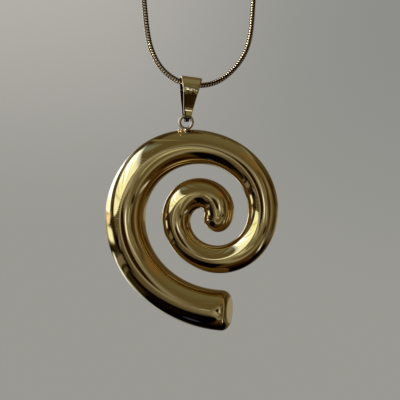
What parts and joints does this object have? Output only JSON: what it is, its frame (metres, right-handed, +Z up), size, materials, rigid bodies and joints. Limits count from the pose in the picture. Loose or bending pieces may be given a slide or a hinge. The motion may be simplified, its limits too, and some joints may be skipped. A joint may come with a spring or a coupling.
{
  "type": "spiral pendant necklace",
  "caption": "Polished gold-tone spiral tube pendant with a welded ring, hung by a folded tapered bail on a closed loop of fine snake chain.",
  "frame": {"origin": "where the necklace hangs: the underside of the clasp, at the top of the loop of chain", "axes": "+Z up, the pendant hangs along -Z; -Y is the pendant's front, with the spiral in the XZ plane; +X is to the viewer's right"},
  "size_m": [0.0528, 0.0323, 0.2613],
  "materials": {
    "polished_gold": "mirror polished gold-tone plating over steel",
    "bail_gold": "polished gold-tone plating, stamped strip",
    "chain_gold": "bright gold-tone plated snake chain links"
  },
  "bodies": {
    "chain": {"chain": "chain_gold", "clasp": "bail_gold"},
    "bail": {"bail": "bail_gold"},
    "spiral": {"spiral": "polished_gold"}
  },
  "joints": [
    {"name": "bail_swing", "type": "hinge", "parent": "chain", "child": "bail", "pos_m": [0, 0, -0.19683], "axis": [0.8517, 0.515, -0.097], "range_deg": [-80, 80]},
    {"name": "spiral_swing", "type": "hinge", "parent": "bail", "child": "spiral", "pos_m": [-0.00108, 0, -0.20632], "axis": [0, 1, 0], "range_deg": [-45, 45]}
  ]
}
